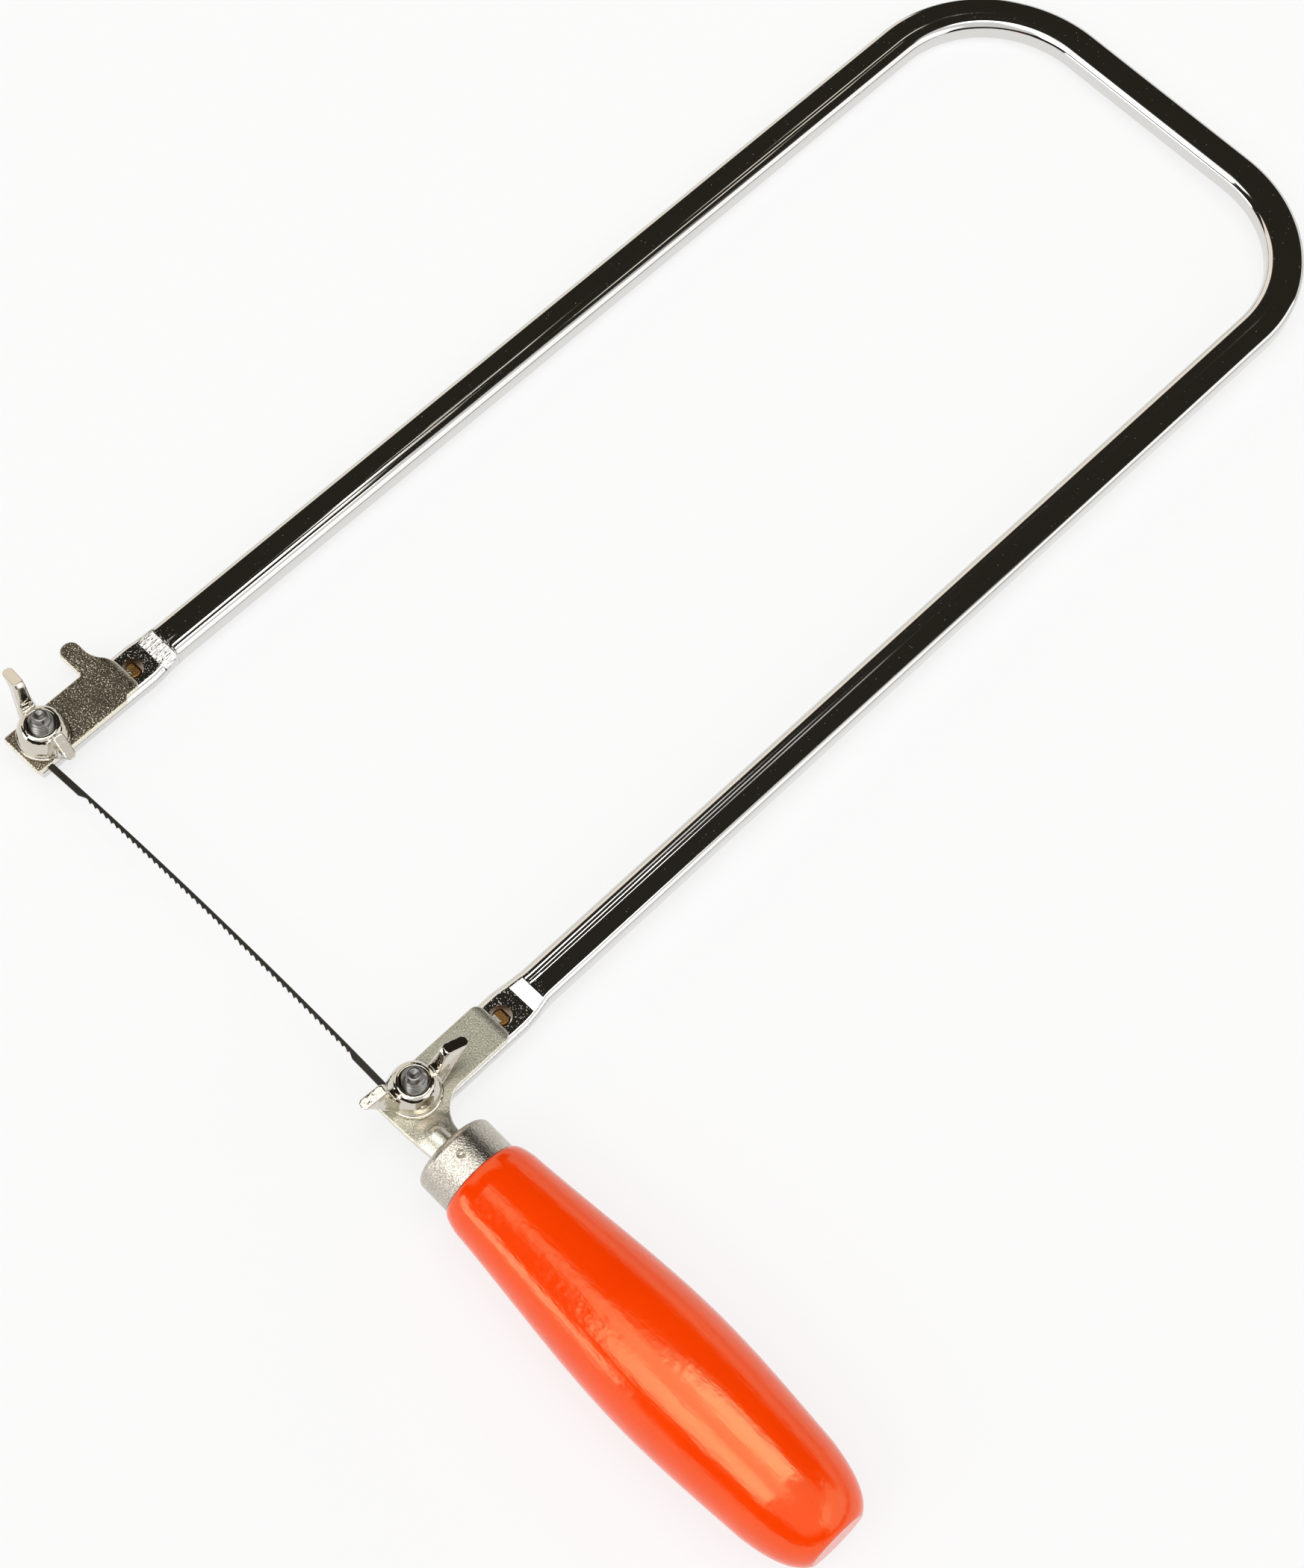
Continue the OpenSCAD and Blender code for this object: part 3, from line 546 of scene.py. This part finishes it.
# Rear clamp plate: the same clamp on the handle's side, stamped in one with the tang. A rib pressed
# up where the tang enters the ferrule stiffens it, and the sheet swells up to meet the rib.
rib_x, rib_r, rib_sink, rib_past = 73.4, 2.5, 0.4, 2.0
# Satin nickel plate: a soft grey-brown sheen with a sandy tooth of about 0.25 mm, smooth by the rib.
satin, tree, shader, place = material_of("satin_nickel_plate", {"Metallic": 1.0})
flat = upward(tree)
grit = add(tree, "ShaderNodeTexNoise", {}, {
    "Vector": place, "Scale": 2.8, "Detail": 3.0, "Roughness": 0.7})[0]
sand = add(tree, "ShaderNodeMapRange", {}, {0: grit, 1: 0.35, 2: 0.65})[0]
tone = add(tree, "ShaderNodeMix", {"data_type": "RGBA"}, {
    0: sand, 6: linear("#989482"), 7: linear("#CAC7B6")})[2]
# Painted highlight: the rounded rims take a paler colour than the flat.
tone = add(tree, "ShaderNodeMix", {"data_type": "RGBA"}, {0: flat, 6: linear("#E2DCCD"), 7: tone})[2]
# Below the sheet, on the nib, the colour is the hole's painted shade.
tree.links.new(shaded_nib(tree, place, tone), shader.inputs["Base Color"])
from_rib = add(tree, "ShaderNodeVectorMath", {"operation": "DISTANCE"}, {
    0: place, 1: (rib_x, 0, plate_top)})["Value"]
sanded = add(tree, "ShaderNodeMapRange", {"interpolation_type": "SMOOTHSTEP"}, {
    0: from_rib, 1: 5.0, 2: 9.0})[0]
sanded = add(tree, "ShaderNodeMath", {"operation": "MULTIPLY"}, {0: flat, 1: sanded})[0]
dull = add(tree, "ShaderNodeMapRange", {}, {0: sanded, 3: 0.14, 4: 0.36})[0]
tree.links.new(dull, shader.inputs["Roughness"])
relief = add(tree, "ShaderNodeBump", {}, {"Height": grit, "Distance": 0.0001, "Strength": 1.0})[0]
tree.links.new(relief, shader.inputs["Normal"])

ferrule_x = 77.9
left_edge, right_edge = arm_x - 5.8, arm_x + 5.8
toe_y, heel_y = bolt_y - 8.6, bolt_y + plate_heel
rear_plate = outlined([
    (left_edge, toe_y, 1.0), (right_edge, toe_y, 0), (ferrule_x, -4.6, 0), (ferrule_x + 3, -4.6, 0),
    (ferrule_x + 48, -3.8, 0), (ferrule_x + 48, 1.2, 0), (ferrule_x + 3, 4.4, 0), (ferrule_x - 0.6, 4.4, 0),
    (right_edge, 4.4, 8.2), (right_edge, heel_y, 2.4), (left_edge, heel_y, 2.4)])
stamped(rear_plate, plate_t, plate_edge)
bmesh.ops.translate(rear_plate, vec=(0, 0, plate_z), verts=rear_plate.verts)
# The sheet is cut finely where the tang leaves the clamp, clear of the bolt hole and the heel.
tang_from, tang_to, cut_gap = 66.2, 13.5, 0.4
scored(rear_plate, 1, [tang_to])
scored(rear_plate, 0, [tang_from + cut_gap * i for i in range(32)], lambda point: point.y < tang_to + 0.01)
scored(rear_plate, 1, [toe_y + cut_gap + cut_gap * i for i in range(28)],
       lambda point: point.x > tang_from - 0.01)
swell_h, swell_from, swell_len = 1.0, 6.0, 4.2
for v in rear_plate.verts:
    if v.co.z > plate_top - 0.1 and v.co.x < ferrule_x:
        away = Vector((min(v.co.x - rib_x, 0), v.co.y)).length
        v.co.z += swell_h * eased((swell_from - away) / swell_len)
heeled(rear_plate, heel_y)
nib_and_rib = heel_nib(arm_x)
rib = bmesh.ops.create_uvsphere(nib_and_rib, u_segments=32, v_segments=20, radius=rib_r,
                                matrix=Matrix.Translation((rib_x, 0, plate_top - rib_sink)))["verts"]
for v in rib:
    if v.co.x > rib_x + 0.01:
        v.co.x = ferrule_x + rib_past
made_piece("rear_clamp_plate", rear_plate, satin, "grip", "rear_clamp_plate",
           cutters=[cylinder(bolt_hole_r, arm_x, bolt_y)], added=nib_and_rib)


# Washers: two flat washers punched from sheet, nickel plated, loose on the bolts under the nuts.
# Their edges are tumbled round, and the bore's upper edge is broken.
# Polished nickel: a warm mirror with the slight waves of a tumbled part.
nickel, tree, shader, place = material_of("polished_nickel_plate", {
    "Metallic": 1.0, "Base Color": linear("#D4CEC2"), "Roughness": 0.06})
waves = add(tree, "ShaderNodeTexNoise", {}, {"Vector": place, "Scale": 0.55, "Detail": 2.0})[0]
relief = add(tree, "ShaderNodeBump", {}, {"Height": waves, "Distance": 0.00012, "Strength": 1.0})[0]
tree.links.new(relief, shader.inputs["Normal"])

washer_r, washer_t, washer_edge, washer_break = 6.7, 1.2, 0.3, 0.2
for name, body, sign in (("front_washer", "front_jaw", -1), ("rear_washer", "grip", 1)):
    washer = bmesh.new()
    turned(washer, [
        (bolt_hole_r, 0), (washer_r - washer_edge, 0), (washer_r - 0.08, 0.1), (washer_r, washer_edge),
        (washer_r, washer_t - washer_edge), (washer_r - 0.08, washer_t - 0.1),
        (washer_r - washer_edge, washer_t), (bolt_hole_r + washer_break, washer_t),
        (bolt_hole_r, washer_t - washer_break), (bolt_hole_r, 0)])
    bmesh.ops.translate(washer, vec=(sign * arm_x, bolt_y, plate_top), verts=washer.verts)
    made_piece(name, washer, nickel, body, name)


# Wing nuts: die-cast nuts with a bell-shaped collar, a countersunk bore and two wings that rise and
# thin towards their sloping ends, tumbled and nickel plated, so that every edge is soft.
collar = [
    (3.05, 0.1), (6.25, 0.1), (6.4, 0.25), (6.4, 0.8), (6.2, 1.0), (6.2, 1.3), (6.15, 2.0), (5.95, 3.2),
    (5.6, 4.3), (5.15, 5.15), (4.65, 5.75), (4.25, 6.0), (3.9, 6.1), (3.6, 6.05), (3.45, 5.8), (3.35, 5.4),
    (3.05, 5.1), (3.05, 0.1)]
wing_side = [
    (4.0, 0.9), (6.4, 0.9), (9.0, 3.8), (11.8, 7.1), (14.45, 11.0), (8.2, 13.25), (7.3, 12.4), (6.0, 6.6),
    (5.4, 5.5), (4.4, 5.0)]
root_z, tip_t, root_t, thinning = 0.9, 2.8, 5.0, 6.5
# The rims to round on a wing: the reach along X in which their middles lie, the rounding and its steps.
wing_rims, longest_rim = ((9.5, 13.5, 1.25, 5), (6.2, 7.9, 0.7, 2)), 6.3
solid = bmesh.new()
turned(solid, collar)
for turn in (0, pi):
    wing = bmesh.new()
    face = wing.faces.new([wing.verts.new((x, 0, z)) for x, z in wing_side])
    back = bmesh.ops.extrude_face_region(wing, geom=[face])["geom"]
    back = [g for g in back if isinstance(g, bmesh.types.BMVert)]
    bmesh.ops.translate(wing, vec=(0, 1, 0), verts=back)
    for v in wing.verts:
        thick = tip_t + (root_t - tip_t) * max(0.0, 1 - (v.co.z - root_z) / thinning) ** 1.5
        v.co.y = (v.co.y - 0.5) * thick
    bmesh.ops.recalc_face_normals(wing, faces=wing.faces)
    for low, high, rounding, steps in wing_rims:
        rims = [e for e in wing.edges if e.verts[0].co.y * e.verts[1].co.y > 0
                and low < (e.verts[0].co.x + e.verts[1].co.x) / 2 < high and e.calc_length() < longest_rim]
        bmesh.ops.bevel(wing, geom=rims, offset=rounding, segments=steps, profile=0.5, affect="EDGES",
                        material=-1)
    bmesh.ops.rotate(wing, cent=(0, 0, 0), matrix=Matrix.Rotation(turn, 3, "Z"), verts=wing.verts)
    wing_mesh = bpy.data.meshes.new("wing")
    wing.to_mesh(wing_mesh)
    wing.free()
    solid.from_mesh(wing_mesh)
    bpy.data.meshes.remove(wing_mesh)
bmesh.ops.recalc_face_normals(solid, faces=solid.faces)
# Collar and wings run together and soften, as a casting does.
cast_mesh = bpy.data.meshes.new("wing_nut")
solid.to_mesh(cast_mesh)
solid.free()
casting = bpy.data.objects.new("casting", cast_mesh)
bpy.context.scene.collection.objects.link(casting)
melt = casting.modifiers.new("one_casting", "REMESH")
melt.mode = "VOXEL"
melt.voxel_size = 0.16
soften = casting.modifiers.new("tumbled", "SMOOTH")
soften.factor = 0.5
soften.iterations = 4
softened = bpy.data.meshes.new_from_object(casting.evaluated_get(bpy.context.evaluated_depsgraph_get()))
bpy.data.objects.remove(casting)
for name, body, sign, angle in (
        ("front_wing_nut", "front_nut", -1, 171.5), ("rear_wing_nut", "rear_nut", 1, 80.0)):
    nut = bmesh.new()
    nut.from_mesh(softened)
    bmesh.ops.rotate(nut, cent=(0, 0, 0), matrix=Matrix.Rotation(radians(angle), 3, "Z"), verts=nut.verts)
    bmesh.ops.translate(nut, vec=(sign * arm_x, bolt_y, nut_seat), verts=nut.verts)
    made_piece(name, nut, nickel, body, name, sharp=60)


# Blade: a hardened fret-saw blade with plain ends under the clamps, its teeth pointing to the handle
# on the edge away from the throat and set a little to either side. Blued dark in tempering.
# Blued steel: a near-black soft sheen with faint marks along the blade.
blued, tree, shader, place = material_of("blued_tempered_steel", {"Metallic": 1.0, "Roughness": 0.42})
marks = add(tree, "ShaderNodeVectorMath", {"operation": "MULTIPLY"}, {0: place, 1: (0.6, 4.0, 4.0)})[0]
marks = add(tree, "ShaderNodeTexNoise", {}, {"Vector": marks, "Scale": 1.2, "Detail": 3.0})[0]
tone = add(tree, "ShaderNodeMix", {"data_type": "RGBA"}, {
    0: marks, 6: linear("#2F2D2A"), 7: linear("#4E4B45")})[2]
tree.links.new(tone, shader.inputs["Base Color"])

blade_len, blade_w, blade_t = 130.0, 1.6, 0.5
toothed_len, tooth_count, tooth_depth, tooth_set = 89.0, 49, 0.42, 0.07
tips = -blade_w / 2 + 0.38
tooth_pitch = toothed_len / tooth_count
blade = bmesh.new()
tooth = [blade.verts.new((-toothed_len / 2 + x, y, -blade_t / 2)) for x, y in (
    (0, blade_w / 2), (0, tips + tooth_depth), (0.3 * tooth_pitch, tips + tooth_depth),
    (0.85 * tooth_pitch, tips), (0.95 * tooth_pitch, tips), (tooth_pitch, tips + tooth_depth),
    (tooth_pitch, blade_w / 2))]
face = blade.faces.new(tooth)
bmesh.ops.spin(blade, geom=[face] + face.edges[:] + tooth, cent=(0, 0, 0), axis=(0, 0, 1), angle=0,
               steps=tooth_count - 1, dvec=(tooth_pitch, 0, 0), use_duplicate=True)
for sign in (-1, 1):
    near, far = sign * toothed_len / 2, sign * blade_len / 2
    blade.faces.new([blade.verts.new((x, y, -blade_t / 2)) for x, y in (
        (near, blade_w / 2), (near, tips + tooth_depth), (near + sign * tooth_pitch, -blade_w / 2),
        (far, -blade_w / 2), (far, blade_w / 2))])
bmesh.ops.remove_doubles(blade, verts=blade.verts, dist=0.002)
up = bmesh.ops.extrude_face_region(blade, geom=blade.faces[:])["geom"]
upper = [g for g in up if isinstance(g, bmesh.types.BMVert)]
bmesh.ops.translate(blade, vec=(0, 0, blade_t), verts=upper)
for v in blade.verts:
    if v.co.y < tips + 0.05 and abs(v.co.x) < toothed_len / 2:
        v.co.z += tooth_set if int((v.co.x + toothed_len / 2) / tooth_pitch) % 2 else -tooth_set
# Between the clamps the slack blade bows a millimetre towards the throat.
free_half, bowed = 57.0, 1.0
scored(blade, 0, [sign * (toothed_len / 2 + 2 + 1.5 * i) for sign in (-1, 1) for i in range(8)])
for v in blade.verts:
    v.co.y += bowed * max(0.0, 1 - (v.co.x / free_half) ** 2)
made_piece("blade", blade, blued, "blade_strip", "blade")


# Ferrule: a short cap drawn from sheet steel, nickel plated, pressed over the handle's end so that
# the wood can't split round the tang, and held by one punched dimple.
# Nickel over unpolished drawn steel: bright, with a sandy grain of about 0.3 mm.
drawn, tree, shader, place = material_of("nickel_over_drawn_steel", {"Metallic": 1.0, "Roughness": 0.19})
grit = add(tree, "ShaderNodeTexNoise", {}, {
    "Vector": place, "Scale": 2.4, "Detail": 3.0, "Roughness": 0.65})[0]
sand = add(tree, "ShaderNodeMapRange", {}, {0: grit, 1: 0.35, 2: 0.65})[0]
tone = add(tree, "ShaderNodeMix", {"data_type": "RGBA"}, {
    0: sand, 6: linear("#ABA498"), 7: linear("#D8D2C6")})[2]
tree.links.new(tone, shader.inputs["Base Color"])
relief = add(tree, "ShaderNodeBump", {}, {"Height": grit, "Distance": 0.0001, "Strength": 1.0})[0]
tree.links.new(relief, shader.inputs["Normal"])

ferrule_r, ferrule_len, ferrule_wall, ferrule_round = 10.35, 10.0, 0.8, 1.8
handle_z, lean = 1.0, 1.5
along_handle = (Matrix.Translation((ferrule_x, 0, handle_z)) @ Matrix.Rotation(radians(-lean), 4, "Z")
                @ Matrix.Rotation(pi / 2, 4, "Y"))
shoulder = [(ferrule_r - ferrule_round * (1 - sin(radians(a))), ferrule_round * (1 - cos(radians(a))))
            for a in range(0, 91, 10)]
ferrule = bmesh.new()
turned(ferrule, [(0, 0)] + shoulder + [
    (ferrule_r, ferrule_len - 0.15), (ferrule_r - 0.15, ferrule_len), (ferrule_r - ferrule_wall, ferrule_len),
    (ferrule_r - ferrule_wall, ferrule_round), (ferrule_r - ferrule_round, ferrule_wall), (0, ferrule_wall)],
    steps=96)
bmesh.ops.transform(ferrule, matrix=along_handle, verts=ferrule.verts)
dimple_r, dimple_along, dimple_out, dimple_turn = 1.25, 4.8, ferrule_r + 0.55, radians(10)
dimple = bmesh.new()
bmesh.ops.create_uvsphere(dimple, u_segments=24, v_segments=16, radius=dimple_r, matrix=Matrix.Translation((
    ferrule_x + dimple_along, -sin(dimple_turn) * dimple_out, handle_z + cos(dimple_turn) * dimple_out)))
made_piece("ferrule", ferrule, drawn, "grip", "ferrule", cutters=[dimple])


# Handle: turned beech, swelling to a belly and rounding off to a flat butt, dipped in glossy orange
# lacquer. The grain shows as fine streaks in the gloss, and the lacquer has a few nicks.
# Orange lacquer on beech: its red is nearly full already, so the gloss is tinted to add mostly green.
lacquer, tree, shader, place = material_of("orange_lacquer_on_beech", {
    "Roughness": 0.13, "Specular IOR Level": 0.85, "Specular Tint": (0.2, 0.95, 0.45, 1.0)})
grain_place = add(tree, "ShaderNodeVectorMath", {"operation": "MULTIPLY"}, {0: place, 1: (0.14, 1.0, 1.0)})[0]
grain = add(tree, "ShaderNodeTexNoise", {}, {
    "Vector": grain_place, "Scale": 0.9, "Detail": 4.0, "Roughness": 0.65})[0]
cloud = add(tree, "ShaderNodeTexNoise", {}, {"Vector": place, "Scale": 0.06, "Detail": 2.0})[0]
tone = add(tree, "ShaderNodeMix", {"data_type": "RGBA"}, {
    0: cloud, 6: linear("#F53A00"), 7: linear("#FE4300")})[2]
streak = add(tree, "ShaderNodeMapRange", {}, {0: grain, 1: 0.6, 2: 0.8, 3: 0.0, 4: 0.35})[0]
tone = add(tree, "ShaderNodeMix", {"data_type": "RGBA"}, {0: streak, 6: tone, 7: linear("#E03400")})[2]
# Nicks about 0.5 mm across, where the lacquer is chipped down to its pale ground.
chips = add(tree, "ShaderNodeTexNoise", {}, {
    "Vector": place, "Scale": 0.9, "Detail": 3.0, "Roughness": 0.7})[0]
chips = add(tree, "ShaderNodeMapRange", {"interpolation_type": "SMOOTHSTEP"}, {
    0: chips, 1: 0.735, 2: 0.76})[0]
tone = add(tree, "ShaderNodeMix", {"data_type": "RGBA"}, {0: chips, 6: tone, 7: linear("#D98A3C")})[2]
tree.links.new(tone, shader.inputs["Base Color"])
relief = add(tree, "ShaderNodeBump", {}, {"Height": grain, "Distance": 0.00007, "Strength": 1.0})[0]
orange_peel = add(tree, "ShaderNodeTexNoise", {}, {"Vector": place, "Scale": 0.35, "Detail": 2.0})[0]
relief = add(tree, "ShaderNodeBump", {}, {
    "Height": orange_peel, "Distance": 0.00008, "Strength": 1.0, "Normal": relief})[0]
tree.links.new(relief, shader.inputs["Normal"])


def swept(first, lead, follow, last, steps):
    """Points of a smooth curve after its first point. Its handles are given from its two ends."""
    from_first = (first[0] + lead[0], first[1] + lead[1])
    to_last = (last[0] + follow[0], last[1] + follow[1])
    knots = [Vector((*knot, 0)) for knot in (first, from_first, to_last, last)]
    curve = interpolate_bezier(*knots, steps + 1)
    return [tuple(point)[:2] for point in curve[1:]]


# The handle's profile as (radius, place along it), measured from the ferrule's face.
end_at = ferrule_len + 112.0
spigot_r, spigot_at = ferrule_r - ferrule_wall - 0.03, 0.83
lip, neck, belly = (ferrule_r + 0.2, ferrule_len + 0.05), (12.35, ferrule_len + 5), (16.5, ferrule_len + 61)
tail, butt = (14.5, end_at - 15.5), (7.75, end_at)
rise, fall = (belly[1] - neck[1]) / 3, (tail[1] - belly[1]) / 3
handle = bmesh.new()
turned(handle, [(0, spigot_at), (spigot_r - 1, spigot_at), (spigot_r, spigot_at + 1),
                (spigot_r, ferrule_len + 0.02), lip]
       + swept(lip, (0.9, 0.4), (-0.3, -2.2), neck, 10)
       + swept(neck, (1.3, rise), (0, -rise), belly, 24)
       + swept(belly, (0, fall), (0.9, -fall), tail, 16)
       + swept(tail, (-0.7, 5.0), (4.6, -2.6), butt, 16)
       + [(butt[0] - 0.3, end_at), (0, end_at)], steps=128)
bmesh.ops.transform(handle, matrix=along_handle, verts=handle.verts)
made_piece("handle", handle, lacquer, "grip", "handle", sharp=35)
